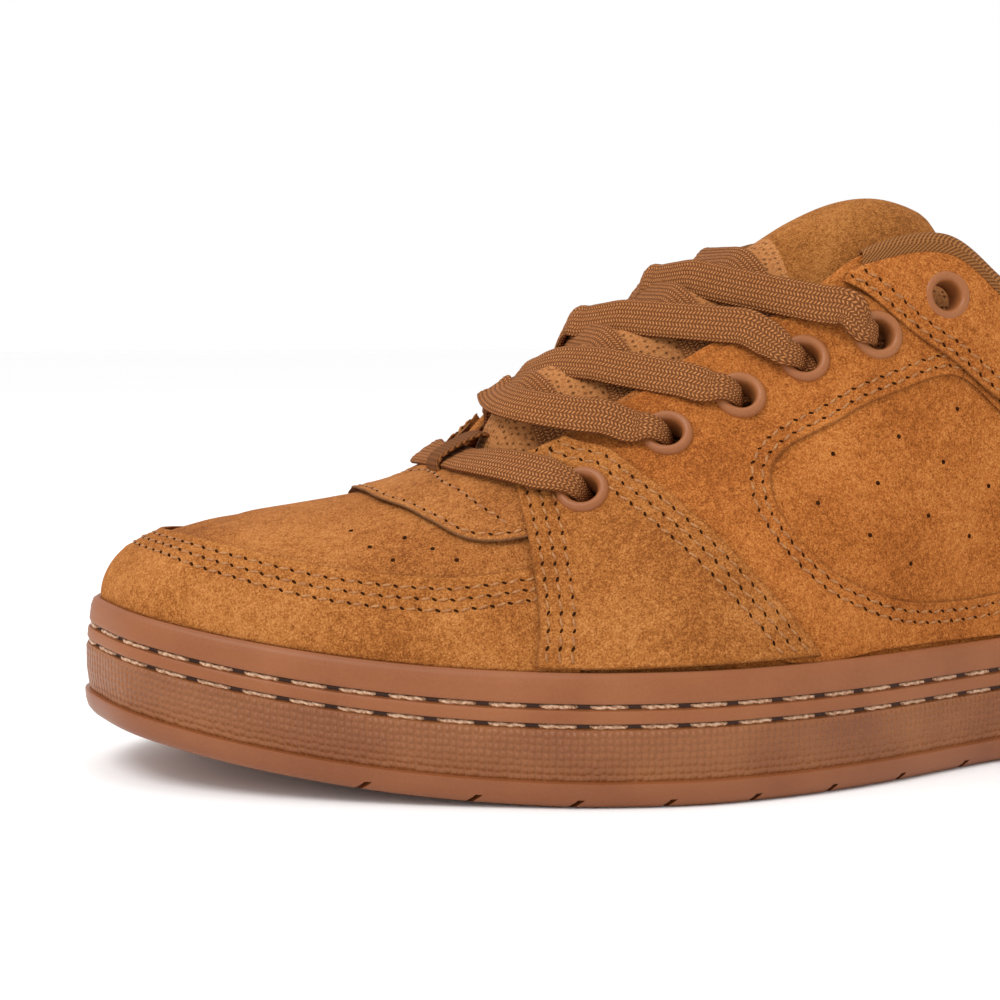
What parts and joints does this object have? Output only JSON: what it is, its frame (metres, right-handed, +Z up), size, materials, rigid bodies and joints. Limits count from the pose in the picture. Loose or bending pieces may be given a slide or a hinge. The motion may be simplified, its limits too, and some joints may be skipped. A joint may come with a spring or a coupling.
{
  "type": "skateboarding shoe",
  "caption": "Left low-top skateboarding shoe: padded suede upper with toe rand and perforated side window, laced over a padded tongue, on a stitched rubber cupsole.",
  "frame": {"origin": "on the resting plane, at the centre of the sole's flat resting face", "axes": "+X to the toe, +Y to the lateral (outer) side, +Z up"},
  "size_m": [0.3004, 0.1148, 0.1273],
  "materials": {
    "gum_rubber": "gum-brown rubber with a matt foxing and a pebbled side band",
    "footbed": "dark brown textile",
    "suede": "caramel-brown suede",
    "tongue_suede": "caramel-brown suede and mesh",
    "eyelet_rubber": "pinkish-brown satin rubber",
    "lace_cotton": "flat ribbed brown lace",
    "webbing": "brown webbing"
  },
  "bodies": {
    "root": {"cupsole": "gum_rubber", "insole": "footbed", "upper": "suede", "tongue": "tongue_suede", "eyelet_lateral_1": "eyelet_rubber", "eyelet_lateral_2": "eyelet_rubber", "eyelet_lateral_3": "eyelet_rubber", "eyelet_lateral_4": "eyelet_rubber", "eyelet_lateral_5": "eyelet_rubber", "eyelet_lateral_6": "eyelet_rubber", "eyelet_medial_1": "eyelet_rubber", "eyelet_medial_2": "eyelet_rubber", "eyelet_medial_3": "eyelet_rubber", "eyelet_medial_4": "eyelet_rubber", "eyelet_medial_5": "eyelet_rubber", "eyelet_medial_6": "eyelet_rubber", "lace_bar": "lace_cotton", "lace_cross_2": "lace_cotton", "lace_cross_3": "lace_cotton", "lace_cross_4": "lace_cotton", "lace_cross_5": "lace_cotton", "lace_keeper": "webbing"}
  },
  "joints": []
}
